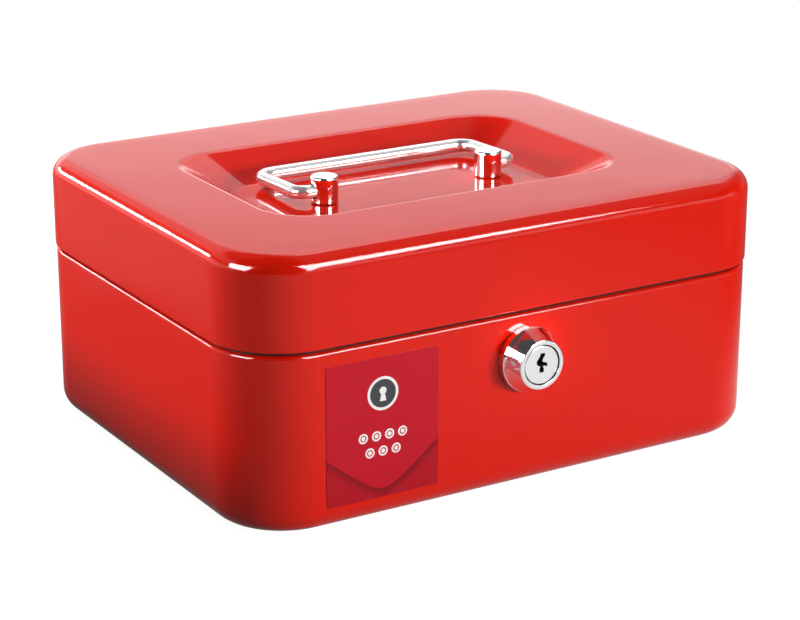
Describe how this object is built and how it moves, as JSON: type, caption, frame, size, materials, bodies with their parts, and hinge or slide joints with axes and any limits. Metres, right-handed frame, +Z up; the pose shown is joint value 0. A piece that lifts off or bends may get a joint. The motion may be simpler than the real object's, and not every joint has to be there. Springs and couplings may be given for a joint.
{
  "type": "cash box",
  "caption": "Small rectangular steel cash box with round corners, a hinged lid with a sunk bail handle, a keyed cylinder lock in front and a lift-out coin tray.",
  "frame": {"origin": "centre of the base's flat underside, on the surface the box stands on", "axes": "+X to the right seen from the front, -Y towards the front with the lock, +Z up; the hinges are at +Y"},
  "size_m": [0.2, 0.1735, 0.0902],
  "materials": {
    "red_paint": "gloss red enamel on drawn steel sheet",
    "ledge_paint": "red enamel on steel strip",
    "label_print": "printed self-adhesive film",
    "chrome": "bright plated",
    "plug_metal": "satin plated",
    "zinc_steel": "zinc-plated steel",
    "hinge_steel": "zinc-plated pressed strip",
    "wafer_brass": "stamped",
    "tray_plastic": "black moulded plastic"
  },
  "bodies": {
    "base": {"base_shell": "red_paint", "front_label": "label_print", "tray_ledge_left": "ledge_paint", "tray_ledge_right": "ledge_paint", "hinge_base_leaf_left": "hinge_steel", "hinge_base_leaf_right": "hinge_steel", "hinge_pin_left": "zinc_steel", "hinge_pin_right": "zinc_steel", "lock_housing": "chrome", "lock_nut": "zinc_steel"},
    "lid": {"lid_shell": "red_paint", "lid_catch": "zinc_steel", "hinge_lid_leaf_left": "hinge_steel", "hinge_lid_leaf_right": "hinge_steel", "handle_post_left": "chrome", "handle_post_right": "chrome", "post_washer_left": "zinc_steel", "post_washer_right": "zinc_steel"},
    "bail": {"handle_bail": "chrome"},
    "plug": {"lock_plug": "plug_metal", "lock_wafer_1": "wafer_brass", "lock_wafer_2": "wafer_brass", "lock_wafer_3": "wafer_brass", "lock_wafer_4": "wafer_brass", "lock_cam": "zinc_steel", "cam_screw": "zinc_steel"},
    "tray": {"coin_tray": "tray_plastic"}
  },
  "joints": [
    {"name": "lid_hinge", "type": "hinge", "parent": "base", "child": "lid", "pos_m": [0, 0.0827, 0.06], "axis": [-1, 0, 0], "range_deg": [0, 105]},
    {"name": "bail_swing", "type": "hinge", "parent": "lid", "child": "bail", "pos_m": [0.0028, -0.0025, 0.085], "axis": [1, 0, 0], "range_deg": [0, 165]},
    {"name": "plug_turn", "type": "hinge", "parent": "base", "child": "plug", "pos_m": [0, -0.07, 0.044], "axis": [0, 1, 0], "range_deg": [0, 90]},
    {"name": "tray_lift", "type": "slide", "parent": "base", "child": "tray", "axis": [0, 0, 1], "range_m": [0, 0.012]}
  ]
}
